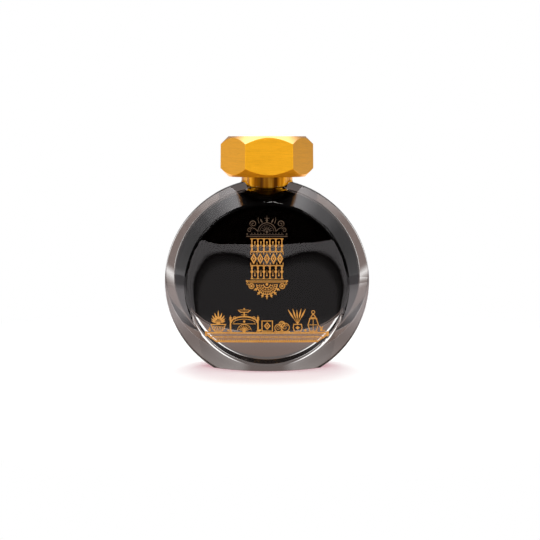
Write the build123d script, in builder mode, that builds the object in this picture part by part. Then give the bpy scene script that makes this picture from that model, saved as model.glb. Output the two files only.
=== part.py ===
from build123d import *

import math
import os

# Round flask ink bottle: thick pressed-glass disc body with a threaded neck,
# a hexagonal brushed aluminium screw cap with a moulded insert and a two-ply
# sealing wad, the ink charge, and gilt ornament printed on the front face.
#
# Frame: origin on the table under the middle of the base, +Z up, the printed
# front face looks along -Y. All dimensions in millimetres.

os.makedirs("parts", exist_ok=True)

# ---- glass body ------------------------------------------------------------
DISC_R = 35.0  # outer radius of the round body
CENTRE_Z = 29.8  # height of the disc's centre above the table
FACE_EDGE_R = 27.4  # where the face would meet the bevel, before rounding
FACE_EDGE_Y = 15.3  # half depth at that corner
DOME = 0.9  # crown of the front and back faces
RIM_HALF = 4.7  # half width of the rim, before rounding
FACE_ROUND = 1.5  # rounding between face and bevel
RIM_ROUND = 2.0  # rounding between bevel and rim
FOOT_ROUND = 0.9  # rounding of the foot's edge
HALF_DEPTH = FACE_EDGE_Y + DOME
FACE_SPHERE_R = (FACE_EDGE_R**2 + DOME**2) / (2 * DOME)  # the faces' crown
FACE_MID_SAG = FACE_SPHERE_R - math.sqrt(FACE_SPHERE_R**2 - (FACE_EDGE_R / 2) ** 2)
PUSH_UP = 0.8  # depth of the elliptical recess under the foot
PUSH_UP_X = 12.5  # its half axes
PUSH_UP_Y = 6.5
PUSH_UP_TAPER = 35  # degrees

# ---- hollow for the ink ----------------------------------------------------
CAV_R = 30.5
CAV_CENTRE_Z = 30.3
CAV_HALF = 12.2  # half depth
CAV_ROUND = 6.0  # rounding between its front and back walls and its side
FLOOR_Z = 12.3  # lowest point of the floor, over thick glass
FLOOR_ARC_R = 68.0
FLOOR_CORNER_R = 19.2
INK_LEVEL_Z = 61.2
INK_GAP = 0.03  # the ink is drawn this far off the glass

# ---- neck, 20 mm class, single-start continuous right-hand thread ----------
NECK_R = 8.75
NECK_ROOT_Z = 55.0  # the neck cylinder starts here, inside the disc
NECK_TOP_Z = 75.2
SHOULDER_TOP_Z = 66.0  # the seam of neck and disc lies below this
SHOULDER_RISE = 4.0  # most an edge of that seam climbs between its ends
BORE_R = 6.5
BORE_START_Z = 50.0  # inside the hollow
MOUTH_R = 6.75  # the bore widens to this from the ink level up
MOUTH_CHAMFER = 0.4
NECK_BLEND = 1.0
LIP_ROUND = 0.5
PITCH = 3.175
THREAD_R = 9.75
THREAD_TURNS = 1.5
THREAD_START_Z = 68.2  # centre line at the lower end
THREAD_SINK_R = 7.6  # the run-outs sink to here, inside the neck wall
RUN_OUT = 50  # degrees
STEPS_PER_TURN = 24  # points along a thread's path

# ---- cap -------------------------------------------------------------------
CAP_BOTTOM_Z = 65.7
CAP_TOP_Z = 79.4
CAP_H = CAP_TOP_Z - CAP_BOTTOM_Z
CAP_FLATS = 27.75  # across flats at the bottom
CAP_DRAFT = 0.6  # degrees
CAP_TURN = 3.1  # degrees the closed cap stands off square
CAP_TOP_R = 13.2  # circle left by the turned chamfer, top
CAP_BOTTOM_R = 13.1
CORNER_ROUND = 0.35
CORNER_REACH = CAP_FLATS / 2 / math.cos(math.radians(30)) + 1  # past the corners
CAP_BORE_R = 11.6
CAP_CEILING_Z = 77.4
CAP_LEAD_IN = 0.35

# ---- cap insert and sealing wad --------------------------------------------
INSERT_GAP = 0.03  # between insert and cap, at the side and the top
INSERT_R = CAP_BORE_R - INSERT_GAP
INSERT_TOP_Z = CAP_CEILING_Z - INSERT_GAP
INSERT_CEILING_Z = 76.24
INSERT_BOTTOM_Z = 66.1
INSERT_TOP_CHAMFER = 0.4
INSERT_FOOT_CHAMFER = 0.2
INSERT_MOUTH_OUT = 0.4  # the bore's lower edge is cut back outwards
INSERT_MOUTH_UP = 0.5  # and upwards
INSERT_ROOT_R = 10.05
INSERT_CREST_R = 9.1
INSERT_TURNS = 1.25
INSERT_THREAD_ANGLE = 200  # degrees, start of the female thread
INSERT_THREAD_Z = THREAD_START_Z - PITCH / 2 + PITCH * INSERT_THREAD_ANGLE / 360
INSERT_SINK_R = 11.0
INSERT_SKIN = 0.3  # the ridge stays this far inside the insert's outside
BEAD_Z = 74.72
BEAD_R = 9.35  # bead that keeps the wad in the insert
BEAD_LAND = 0.2  # height of the bead's inner face
BEAD_FLANK = 0.45  # the bead meets the bore this far above and below BEAD_Z
WAD_R = 9.6
LIP_GAP = 0.02
FACING_T = 0.12
CORE_T = 0.86

# ---- print -----------------------------------------------------------------
PRINT_GAP = 0.02
PRINT_T = 0.06
PRINT_SPAN = 6.0  # depth of the extruded artwork, centred on the face's crown
PRINT_PLANE = Plane.XZ.offset(HALF_DEPTH - PRINT_SPAN / 2)  # local y is up
FACE_CENTRE = (0, -HALF_DEPTH + FACE_SPHERE_R, CENTRE_Z)


def export_piece(piece, name):
    """Label a finished builder's part and write its STEP file."""
    piece.part.label = name
    export_step(piece.part, f"parts/{name}.step")


def turned(points):
    """Solid turned about Z from a closed outline of (radius, z) points."""
    with BuildPart() as solid:
        with BuildSketch(Plane.XZ):
            with BuildLine():
                Polyline(*points, points[0])
            make_face()
        revolve(axis=Axis.Z)
    return solid.part


# ---- threads ---------------------------------------------------------------
def thread_path(radius, start_z, start_angle, turns, sink_to):
    """Points of a helix. Over RUN_OUT degrees at each end it slides to
    sink_to, past the wall it stands on, so the ridge fades out."""
    steps = round(turns * STEPS_PER_TURN)
    points = []
    for i in range(steps + 1):
        angle = turns * 360 * i / steps
        from_end = min(angle, turns * 360 - angle)
        sink = max(0.0, 1 - from_end / RUN_OUT)
        r = radius + (sink_to - radius) * sink * sink * (3 - 2 * sink)
        turn = math.radians(start_angle + angle)
        z = start_z + PITCH * angle / 360
        points.append((r * math.cos(turn), r * math.sin(turn), z))
    return points


def radial_plane(point):
    """Plane through the thread axis and point, local x outwards, local y down."""
    outwards = Vector(point.X, point.Y, 0).normalized()
    return Plane(origin=point, x_dir=outwards, z_dir=Vector(0, 0, 1).cross(outwards))


def make_ridge(wall_r, crest_r, start_z, start_angle, turns, sink_to,
               root_x, root_half, crest_half):
    """Thread ridge of trapezoid section. Its root lies root_x outwards of
    wall_r; root_half and crest_half are half widths along the axis."""
    crest_x = crest_r - wall_r
    with BuildPart() as ridge:
        with BuildLine() as path:
            Spline(*thread_path(wall_r, start_z, start_angle, turns, sink_to))
        with BuildSketch(radial_plane(path.line @ 0)):
            with BuildLine():
                Polyline(
                    (root_x, -root_half),
                    (crest_x, -crest_half),
                    (crest_x, crest_half),
                    (root_x, root_half),
                    (root_x, -root_half),
                )
            make_face()
        sweep(
            path=path.line,
            binormal=Edge.make_line((0, 0, start_z), (0, 0, start_z + turns * PITCH)),
        )
    return ridge.part


# ---- hollow ----------------------------------------------------------------
def hollow_outline(shrink):
    """(x, z) ends and middle of the right-hand corner arc of the hollow's
    outline. The corner circle touches wall circle and floor arc from inside."""
    wall_r = CAV_R - shrink
    floor_r = FLOOR_ARC_R - shrink
    corner_r = FLOOR_CORNER_R - shrink
    wall_z = CAV_CENTRE_Z
    floor_z = FLOOR_Z + FLOOR_ARC_R  # centre of the floor arc
    # distances from the corner's centre to the other two centres
    to_wall, to_floor = wall_r - corner_r, floor_r - corner_r
    z = (to_wall**2 - to_floor**2 - wall_z**2 + floor_z**2) / (2 * (floor_z - wall_z))
    x = math.sqrt(to_wall**2 - (z - wall_z) ** 2)
    on_wall = (x * wall_r / to_wall, wall_z + (z - wall_z) * wall_r / to_wall)
    on_floor = (x * floor_r / to_floor, floor_z + (z - floor_z) * floor_r / to_floor)
    middle = math.atan2(z - wall_z, x) / 2 + math.atan2(z - floor_z, x) / 2
    on_corner = (x + corner_r * math.cos(middle), z + corner_r * math.sin(middle))
    return on_wall, on_corner, on_floor


def make_hollow(shrink):
    """The space below the neck, drawn in by shrink all round."""
    (wall_x, wall_z), (corner_x, corner_z), (floor_x, floor_z) = hollow_outline(shrink)
    top_z = CAV_CENTRE_Z + CAV_R - shrink
    with BuildPart() as space:
        with BuildSketch(Plane.XZ.offset(-CAV_HALF + shrink)):
            with BuildLine():
                ThreePointArc((-wall_x, wall_z), (0, top_z), (wall_x, wall_z))
                ThreePointArc((wall_x, wall_z), (corner_x, corner_z), (floor_x, floor_z))
                ThreePointArc((floor_x, floor_z), (0, FLOOR_Z + shrink), (-floor_x, floor_z))
                ThreePointArc((-floor_x, floor_z), (-corner_x, corner_z), (-wall_x, wall_z))
            make_face()
        extrude(amount=2 * (CAV_HALF - shrink))
        ends = space.faces().filter_by(Axis.Y)
        fillet(ends.edges(), radius=CAV_ROUND - shrink)
    return space.part


# ---- glass bottle ----------------------------------------------------------
def on_shoulder(edge):
    """Whether an edge belongs to the seam where the neck leaves the disc."""
    return (
        NECK_ROOT_Z < edge.center().Z < NECK_TOP_Z - 2
        and all(
            abs(math.hypot((edge @ t).X, (edge @ t).Y) - NECK_R) < 1e-3
            for t in (0, 0.25, 0.5, 0.75, 1)
        )
        and abs((edge @ 0).Z - (edge @ 1).Z) < SHOULDER_RISE
        and (edge @ 0.5).Z < SHOULDER_TOP_Z
    )


with BuildPart() as glass_bottle:
    # half section of the disc, turned about its own front-to-back axis
    with BuildSketch(Plane.XY.offset(CENTRE_Z)) as disc_profile:
        with BuildLine():
            ThreePointArc(
                (0, -HALF_DEPTH),
                (FACE_EDGE_R / 2, -HALF_DEPTH + FACE_MID_SAG),
                (FACE_EDGE_R, -FACE_EDGE_Y),
            )
            Line((FACE_EDGE_R, -FACE_EDGE_Y), (DISC_R, -RIM_HALF))
            Line((DISC_R, -RIM_HALF), (DISC_R, RIM_HALF))
            Line((DISC_R, RIM_HALF), (FACE_EDGE_R, FACE_EDGE_Y))
            ThreePointArc(
                (FACE_EDGE_R, FACE_EDGE_Y),
                (FACE_EDGE_R / 2, HALF_DEPTH - FACE_MID_SAG),
                (0, HALF_DEPTH),
            )
            Line((0, HALF_DEPTH), (0, -HALF_DEPTH))
        make_face()
        fillet(
            disc_profile.vertices().filter_by(lambda v: abs(v.X - FACE_EDGE_R) < 1e-4),
            radius=FACE_ROUND,
        )
        fillet(
            disc_profile.vertices().filter_by(
                lambda v: abs(v.X - DISC_R) < 1e-4 and abs(abs(v.Y) - RIM_HALF) < 1e-4
            ),
            radius=RIM_ROUND,
        )
    revolve(axis=Axis((0, 0, CENTRE_Z), (0, 1, 0)))

    # flat foot
    split(bisect_by=Plane.XY, keep=Keep.TOP)

    # neck, blended into the shoulder
    with BuildSketch(Plane.XY.offset(NECK_ROOT_Z)):
        Circle(NECK_R)
    extrude(amount=NECK_TOP_Z - NECK_ROOT_Z)
    fillet([e for e in glass_bottle.edges() if on_shoulder(e)], radius=NECK_BLEND)

    # foot edge and push-up
    foot = glass_bottle.faces().sort_by(Axis.Z)[0]
    fillet(foot.edges(), radius=FOOT_ROUND)
    with BuildSketch(Plane.XY):
        Ellipse(PUSH_UP_X, PUSH_UP_Y)
    extrude(amount=PUSH_UP, taper=PUSH_UP_TAPER, mode=Mode.SUBTRACT)

    # lip
    lip = glass_bottle.edges().filter_by(GeomType.CIRCLE).sort_by(Axis.Z)[-1]
    fillet(lip, radius=LIP_ROUND)

    add(
        make_ridge(
            wall_r=NECK_R,
            crest_r=THREAD_R,
            start_z=THREAD_START_Z,
            start_angle=0,
            turns=THREAD_TURNS,
            sink_to=THREAD_SINK_R,
            root_x=-0.7,
            root_half=1.1,
            crest_half=0.35,
        )
    )

    # bore with a chamfered mouth, run out past the lip
    bore = turned(
        [
            (0, BORE_START_Z),
            (BORE_R, BORE_START_Z),
            (BORE_R, INK_LEVEL_Z),
            (MOUTH_R, NECK_TOP_Z - MOUTH_CHAMFER),
            (MOUTH_R + MOUTH_CHAMFER, NECK_TOP_Z),
            (MOUTH_R + MOUTH_CHAMFER, NECK_TOP_Z + 1),
            (0, NECK_TOP_Z + 1),
        ]
    )
    add(bore, mode=Mode.SUBTRACT)
    add(make_hollow(0.0), mode=Mode.SUBTRACT)

export_piece(glass_bottle, "glass_bottle")

# ---- ink -------------------------------------------------------------------
with BuildPart() as ink:
    add(make_hollow(INK_GAP))
    # trims the ink only if the level is set below the hollow's top
    split(bisect_by=Plane.XY.offset(INK_LEVEL_Z), keep=Keep.BOTTOM)

export_piece(ink, "ink")

# ---- cap shell -------------------------------------------------------------
with BuildPart() as cap_shell:
    with BuildSketch(Plane.XY.offset(CAP_BOTTOM_Z)) as hexagon:
        RegularPolygon(
            radius=CAP_FLATS / 2, side_count=6, major_radius=False, rotation=CAP_TURN
        )
        fillet(hexagon.vertices(), radius=CORNER_ROUND)
    extrude(amount=CAP_H, taper=CAP_DRAFT)
    # turned 45 degree chamfers at both ends
    chamfer_envelope = turned(
        [
            (0, CAP_BOTTOM_Z),
            (CAP_BOTTOM_R, CAP_BOTTOM_Z),
            (CORNER_REACH, CAP_BOTTOM_Z + CORNER_REACH - CAP_BOTTOM_R),
            (CORNER_REACH, CAP_TOP_Z - (CORNER_REACH - CAP_TOP_R)),
            (CAP_TOP_R, CAP_TOP_Z),
            (0, CAP_TOP_Z),
        ]
    )
    add(chamfer_envelope, mode=Mode.INTERSECT)
    # bore for the insert, with a small lead-in
    cap_bore = turned(
        [
            (0, CAP_BOTTOM_Z - 1),
            (CAP_BORE_R + CAP_LEAD_IN, CAP_BOTTOM_Z - 1),
            (CAP_BORE_R + CAP_LEAD_IN, CAP_BOTTOM_Z),
            (CAP_BORE_R, CAP_BOTTOM_Z + CAP_LEAD_IN),
            (CAP_BORE_R, CAP_CEILING_Z),
            (0, CAP_CEILING_Z),
        ]
    )
    add(cap_bore, mode=Mode.SUBTRACT)

export_piece(cap_shell, "cap_shell")

# ---- cap insert ------------------------------------------------------------
with BuildPart() as female_thread:
    add(
        make_ridge(
            wall_r=INSERT_ROOT_R,
            crest_r=INSERT_CREST_R,
            start_z=INSERT_THREAD_Z,
            start_angle=INSERT_THREAD_ANGLE,
            turns=INSERT_TURNS,
            sink_to=INSERT_SINK_R,
            root_x=0.25,
            root_half=0.95,
            crest_half=0.3,
        )
    )
    # nothing of the ridge reaches the outside of the insert
    with BuildSketch(Plane.XY.offset(CAP_BOTTOM_Z)):
        Circle(INSERT_R - INSERT_SKIN)
    extrude(amount=CAP_H, mode=Mode.INTERSECT)

with BuildPart() as cap_insert:
    insert_body = turned(
        [
            (0, INSERT_CEILING_Z),
            (INSERT_ROOT_R, INSERT_CEILING_Z),
            (INSERT_ROOT_R, BEAD_Z + BEAD_FLANK),
            (BEAD_R, BEAD_Z + BEAD_LAND),
            (BEAD_R, BEAD_Z),
            (INSERT_ROOT_R, BEAD_Z - BEAD_FLANK),
            (INSERT_ROOT_R, INSERT_BOTTOM_Z + INSERT_MOUTH_UP),
            (INSERT_ROOT_R + INSERT_MOUTH_OUT, INSERT_BOTTOM_Z),
            (INSERT_R - INSERT_FOOT_CHAMFER, INSERT_BOTTOM_Z),
            (INSERT_R, INSERT_BOTTOM_Z + INSERT_FOOT_CHAMFER),
            (INSERT_R, INSERT_TOP_Z - INSERT_TOP_CHAMFER),
            (INSERT_R - INSERT_TOP_CHAMFER, INSERT_TOP_Z),
            (0, INSERT_TOP_Z),
        ]
    )
    add(insert_body)
    add(female_thread.part)

export_piece(cap_insert, "cap_insert")

# ---- sealing wad -----------------------------------------------------------
FACING_Z = NECK_TOP_Z + LIP_GAP
for ply_name, ply_z, ply_t in (
    ("seal_facing", FACING_Z, FACING_T),
    ("seal_core", FACING_Z + FACING_T, CORE_T),
):
    with BuildPart() as ply:
        with BuildSketch(Plane.XY.offset(ply_z)):
            Circle(WAD_R)
        extrude(amount=ply_t)
    export_piece(ply, ply_name)


# ---- print on the front face -----------------------------------------------
def cut_to_skin():
    """Inside a BuildPart: extrude its artwork and keep only the part in a
    thin spherical skin that follows the face's crown."""
    extrude(amount=PRINT_SPAN)
    with Locations(FACE_CENTRE):
        Sphere(FACE_SPHERE_R + PRINT_GAP + PRINT_T, mode=Mode.INTERSECT)
        Sphere(FACE_SPHERE_R + PRINT_GAP, mode=Mode.SUBTRACT)


def petal(x, z, reach_x, reach_z, angle, half_width, half_length):
    """Inside a BuildSketch: ellipse leaning angle degrees from upright
    towards +X, its middle moved out from (x, z) by the reach."""
    lean = math.radians(angle)
    middle = (x + reach_x * math.sin(lean), z + reach_z * math.cos(lean), 0)
    with Locations(Location(middle, (0, 0, -angle))):
        Ellipse(half_width, half_length)


# crest: fan of petals round a disc, over a bar
CREST_BAR_Z = 46.6
CREST_FAN_Z = 47.8
CREST_DISC_Z = 48.0

with BuildPart() as emblem_crest_print:
    with BuildSketch(PRINT_PLANE):
        with Locations((0, CREST_BAR_Z)):
            Rectangle(9.5, 0.9)
        for angle in (-60, -30, 0, 30, 60):
            petal(0, CREST_FAN_Z, 4.1, 3.0, angle, 0.75, 1.9)
        with Locations((0, CREST_DISC_Z)):
            Circle(1.1)
    cut_to_skin()

export_piece(emblem_crest_print, "emblem_crest_print")

# rows: two rows of lozenges between bars, a row of rings in the middle
LOZENGE_ROWS_Z = (43.2, 34.2)
LOZENGE_PITCH = 2.3
BARS_Z = (45.1, 41.3, 36.1, 32.3)
RINGS_Z = 38.7
RING_PITCH = 2.8

with BuildPart() as emblem_rows_print:
    with BuildSketch(PRINT_PLANE):
        for row_z in LOZENGE_ROWS_Z:
            with GridLocations(LOZENGE_PITCH, 0, 5, 1):
                with Locations((0, row_z)):
                    RegularPolygon(radius=1.05, side_count=4, rotation=45)
        for bar_z in BARS_Z:
            with Locations((0, bar_z)):
                Rectangle(11.2, 0.3)
        with GridLocations(RING_PITCH, 0, 4, 1):
            with Locations((0, RINGS_Z)):
                Circle(1.15)
                Circle(0.6, mode=Mode.SUBTRACT)
    cut_to_skin()

export_piece(emblem_rows_print, "emblem_rows_print")

# rosette: eight petals round a disc
ROSETTE_Z = 28.3
ROSETTE_REACH = 1.95

with BuildPart() as emblem_rosette_print:
    with BuildSketch(PRINT_PLANE):
        for angle in range(0, 360, 45):
            petal(0, ROSETTE_Z, ROSETTE_REACH, ROSETTE_REACH, angle, 0.6, 1.35)
        with Locations((0, ROSETTE_Z)):
            Circle(0.75)
    cut_to_skin()

export_piece(emblem_rosette_print, "emblem_rosette_print")

# shelf: three bars over a row of dots
SHELF_BARS = (  # z, width, height
    (14.5, 40.6, 0.5),
    (13.5, 37.6, 0.7),
    (12.6, 35.2, 0.35),
)
SHELF_DOTS_Z = 11.5
SHELF_DOT_PITCH = 1.72

with BuildPart() as frieze_shelf_print:
    with BuildSketch(PRINT_PLANE):
        for bar_z, width, height in SHELF_BARS:
            with Locations((0, bar_z)):
                Rectangle(width, height)
        with GridLocations(SHELF_DOT_PITCH, 0, 19, 1):
            with Locations((0, SHELF_DOTS_Z)):
                Circle(0.55)
    cut_to_skin()

export_piece(frieze_shelf_print, "frieze_shelf_print")

# figures standing along the shelf, from -X to +X
SPRIG_X = -15.6
SPRIG_LEAVES = ((-50, 2.4), (-20, 3.0), (20, 3.0), (50, 2.4))  # lean, reach
CARTOUCHE_X = -7.9
CARTOUCHE_Z = 18.0
SCROLL_OUT = 2.7  # scrolls stand this far to each side of the cartouche
SCROLL_Z = 15.9
BOWL_X = 5.2
JAR_X = 10.4
REED_REACH = 4.0
URN_X = 15.4

with BuildPart() as frieze_figures_print:
    with BuildSketch(PRINT_PLANE):
        # potted sprig
        with Locations((SPRIG_X, 16.3)):
            Trapezoid(3.4, 2.8, 105, rotation=180)
        for angle, reach in SPRIG_LEAVES:
            petal(SPRIG_X, 17.9, reach, reach, angle, 0.5, 1.7)
        # scrolled cartouche
        with Locations((CARTOUCHE_X, CARTOUCHE_Z)):
            Circle(2.9)
            Circle(1.9, mode=Mode.SUBTRACT)
        with Locations(
            (CARTOUCHE_X - SCROLL_OUT, SCROLL_Z), (CARTOUCHE_X + SCROLL_OUT, SCROLL_Z)
        ):
            Circle(0.85)
        with Locations((CARTOUCHE_X, CARTOUCHE_Z)):
            RegularPolygon(radius=1.2, side_count=4, rotation=45)
        # pair of books
        with Locations((-0.6, 15.4)):
            Rectangle(5.2, 1.0)
        with Locations((-0.3, 16.8)):
            Rectangle(4.4, 1.0)
        # low bowl
        with Locations((BOWL_X, 15.7)):
            Trapezoid(3.8, 1.5, 115, rotation=180)
        # reeds in a jar
        with Locations((JAR_X, 16.2)):
            Rectangle(2.8, 2.5)
        for angle in (-16, 0, 16):
            petal(JAR_X, 15.9, REED_REACH, REED_REACH, angle, 0.4, 2.2)
        # covered urn: body, foot, knob
        with Locations((URN_X, 17.4)):
            Ellipse(1.7, 2.1)
        with Locations((URN_X, 15.2)):
            Rectangle(2.6, 0.6)
        with Locations((URN_X, 20.4)):
            Circle(0.6)
    cut_to_skin()

export_piece(frieze_figures_print, "frieze_figures_print")
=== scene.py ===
"""A round, flat-faced glass ink bottle with a faceted gold cap and a gilt print.

The bottle stands upright on the table at z = 0. The printed face looks along -Y,
towards the camera, and +X is to the right. The CAD pieces are in metres; the print
is drawn in millimetres of x and z and laid on the face.
"""
import math

import bpy
import numpy as np
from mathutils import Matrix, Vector
from mathutils.bvhtree import BVHTree


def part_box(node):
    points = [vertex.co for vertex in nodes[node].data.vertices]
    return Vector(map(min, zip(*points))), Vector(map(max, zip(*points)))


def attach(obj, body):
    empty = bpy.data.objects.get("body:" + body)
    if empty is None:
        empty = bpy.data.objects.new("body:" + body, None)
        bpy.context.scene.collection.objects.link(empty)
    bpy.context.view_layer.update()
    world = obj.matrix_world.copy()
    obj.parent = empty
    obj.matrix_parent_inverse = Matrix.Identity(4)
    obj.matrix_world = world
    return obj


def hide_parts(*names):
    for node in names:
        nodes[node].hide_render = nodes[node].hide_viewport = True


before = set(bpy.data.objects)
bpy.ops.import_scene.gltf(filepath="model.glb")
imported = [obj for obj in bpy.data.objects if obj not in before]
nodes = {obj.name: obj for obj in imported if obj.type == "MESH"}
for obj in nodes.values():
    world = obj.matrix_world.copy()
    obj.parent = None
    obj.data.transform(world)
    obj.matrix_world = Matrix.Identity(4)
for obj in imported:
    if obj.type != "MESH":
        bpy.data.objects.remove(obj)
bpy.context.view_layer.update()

MM = 0.001

glass = nodes["glass_bottle"]
ink = nodes["ink"]

glass_low, glass_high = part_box("glass_bottle")
cap_low, cap_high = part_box("cap_shell")
INK_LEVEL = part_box("ink")[1].z
CAP_TOP = cap_high.z
BOTTLE_X = (glass_low.x + glass_high.x) / 2

# the middle of each crowned face, and the radius of its crown
POLE_Y = (glass_high.y - glass_low.y) / 2
POLE_Z = (glass_high.x - glass_low.x) / 2 - 0.0052
POLE_R = 0.4175

GLASS_IOR = 1.52
INK_IOR = 1.33


# ---------------------------------------------------------------- node helper
class Nodes:
    """Builds the node tree of a material or world. Unless said otherwise, a method
    adds new nodes and returns an output socket. Colours are given as RGB."""

    def __init__(self, owner, output_kind="ShaderNodeOutputMaterial"):
        owner.use_nodes = True
        self.owner = owner
        self.tree = owner.node_tree
        self.tree.nodes.clear()
        self.output = self.tree.nodes.new(output_kind)

    def finish(self, shader):
        """Link the shader to the output and return the material or world."""
        self.tree.links.new(shader, self.output.inputs["Surface"])
        return self.owner

    def add_node(self, kind, inputs=None, **settings):
        """Add a node and return it. Inputs map a socket to a value or an output."""
        node = self.tree.nodes.new(kind)
        for name, value in settings.items():
            setattr(node, name, value)
        for key, value in (inputs or {}).items():
            if value is None:
                continue
            socket = node.inputs[key]
            if isinstance(value, bpy.types.NodeSocket):
                self.tree.links.new(value, socket)
            else:
                socket.default_value = (*value, 1) if socket.type == "RGBA" else value
        return node

    def add(self, kind, inputs=None, **settings):
        return self.add_node(kind, inputs, **settings).outputs[0]

    # arithmetic
    def math(self, operation, a, b=None, clamp=False):
        return self.add("ShaderNodeMath", {0: a, 1: b}, operation=operation, use_clamp=clamp)

    def times(self, first, *others):
        for other in others:
            first = self.math("MULTIPLY", first, other)
        return first

    def plus(self, a, b):
        return self.math("ADD", a, b)

    def minus(self, a, b):
        return self.math("SUBTRACT", a, b)

    def above(self, value, limit):
        return self.math("GREATER_THAN", value, limit)

    def below(self, value, limit):
        return self.math("LESS_THAN", value, limit)

    def size(self, value):
        return self.math("ABSOLUTE", value)

    def hypot(self, a, b):
        return self.math("SQRT", self.plus(self.times(a, a), self.times(b, b)))

    def dimmed(self, mask, amount):
        """One, lowered by the amount where the mask is full."""
        return self.minus(1.0, self.times(mask, amount))

    def map_range(self, value, low, high, to_low=0.0, to_high=1.0, kind="LINEAR"):
        inputs = {
            "Value": value,
            "From Min": low,
            "From Max": high,
            "To Min": to_low,
            "To Max": to_high,
        }
        return self.add("ShaderNodeMapRange", inputs, interpolation_type=kind)

    def smooth(self, value, low, high):
        return self.map_range(value, low, high, kind="SMOOTHSTEP")

    def band(self, value, rise, fall):
        """Mask that eases in over the rise and out over the fall."""
        return self.times(self.smooth(value, *rise), self.minus(1.0, self.smooth(value, *fall)))

    # vectors
    def vector_math(self, operation, a, b=None, c=None):
        return self.add("ShaderNodeVectorMath", {0: a, 1: b, 2: c}, operation=operation)

    def scaled(self, vector, factor):
        inputs = {0: vector, "Scale": factor}
        return self.add("ShaderNodeVectorMath", inputs, operation="SCALE")

    def split(self, vector):
        """The x, y and z sockets of a vector."""
        return self.add_node("ShaderNodeSeparateXYZ", {0: vector}).outputs

    def combine(self, x, y, z):
        return self.add("ShaderNodeCombineXYZ", {0: x, 1: y, 2: z})

    # where the shaded point is, and what kind of ray found it
    def position(self):
        return self.add_node("ShaderNodeTexCoord").outputs["Object"]

    def coords(self, scale=(1, 1, 1)):
        inputs = {"Vector": self.position(), "Scale": scale}
        return self.add("ShaderNodeMapping", inputs)

    def geometry(self):
        """All outputs of a new geometry node."""
        return self.add_node("ShaderNodeNewGeometry").outputs

    def light_path(self):
        """All outputs of a new light path node."""
        return self.add_node("ShaderNodeLightPath").outputs

    def turned_once(self, path):
        """Mask for light turned once inside the glass: ray depth 3."""
        depth = path["Ray Depth"]
        return self.times(self.above(depth, 2.5), self.below(depth, 3.5))

    # patterns and colours
    def noise(self, vector, scale, detail, rough=0.5, output="Fac"):
        inputs = {"Vector": vector, "Scale": scale, "Detail": detail, "Roughness": rough}
        return self.add_node("ShaderNodeTexNoise", inputs).outputs[output]

    def ramp(self, factor, stops, interpolation="LINEAR"):
        node = self.add_node("ShaderNodeValToRGB", {0: factor})
        node.color_ramp.interpolation = interpolation
        elements = node.color_ramp.elements
        while len(elements) > 1:
            elements.remove(elements[-1])
        elements[0].position = stops[0][0]
        elements[0].color = (*stops[0][1], 1)
        for place, color in stops[1:]:
            elements.new(place).color = (*color, 1)
        return node.outputs[0]

    def mix(self, factor, a, b, kind="RGBA", blend="MIX"):
        inputs = {"Factor": factor, "A": a, "B": b}
        node = self.add_node("ShaderNodeMix", inputs, data_type=kind, blend_type=blend)
        return node.outputs["Result"]

    def bump(self, height, strength, distance, normal=None):
        inputs = {"Height": height, "Strength": strength, "Distance": distance, "Normal": normal}
        return self.add("ShaderNodeBump", inputs)

    # shaders
    def principled(self, inputs):
        return self.add("ShaderNodeBsdfPrincipled", inputs)

    def glass(self, ior, color, rough, normal=None):
        inputs = {"IOR": ior, "Color": color, "Roughness": rough, "Normal": normal}
        return self.add("ShaderNodeBsdfGlass", inputs)

    def emission(self, color, strength=1.0):
        return self.add("ShaderNodeEmission", {"Color": color, "Strength": strength})

    def background(self, color, strength=1.0):
        return self.add("ShaderNodeBackground", {"Color": color, "Strength": strength})

    def mix_shader(self, factor, a, b):
        return self.add("ShaderNodeMixShader", {0: factor, 1: a, 2: b})


def new_material(name):
    return Nodes(bpy.data.materials.new(name))


def grey(level, tint=(1, 1, 1)):
    return tuple(level * channel for channel in tint)


def greys(stops, tint=(1, 1, 1)):
    """Ramp stops from (place, level) pairs of one tint."""
    return [(place, grey(level, tint)) for place, level in stops]


# ---------------------------------------------------------------- glass and ink
def wavy_normal(m, wave):
    """Surface normal with the long shallow waves of pressed glass."""
    pattern = m.noise(m.coords(), scale=42.0, detail=2.0, rough=0.45, output="Color")
    wobble = m.vector_math("MULTIPLY_ADD", pattern, (wave,) * 3, (-wave / 2,) * 3)
    # the two faces are crowned: near their centres take the normal from the
    # crown itself, where the triangles all meet in one point
    x, y, z = m.split(m.vector_math("SUBTRACT", m.position(), (0.0, 0.0, POLE_Z)))
    outward = m.times(m.math("SIGN", y), POLE_R)
    crown = m.vector_math("NORMALIZE", m.combine(x, outward, z))
    at_pole = m.times(m.below(m.hypot(x, z), 0.0060), m.above(m.size(y), POLE_Y * 0.97))
    base = m.mix(at_pole, m.geometry()["Normal"], crown, kind="VECTOR")
    return m.vector_math("NORMALIZE", m.vector_math("ADD", base, wobble))


def glass_material():
    m = new_material("flask_glass")
    normal = wavy_normal(m, wave=0.012)
    return m.finish(m.glass(GLASS_IOR, color=(0.985, 0.99, 0.985), rough=0.0, normal=normal))


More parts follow.
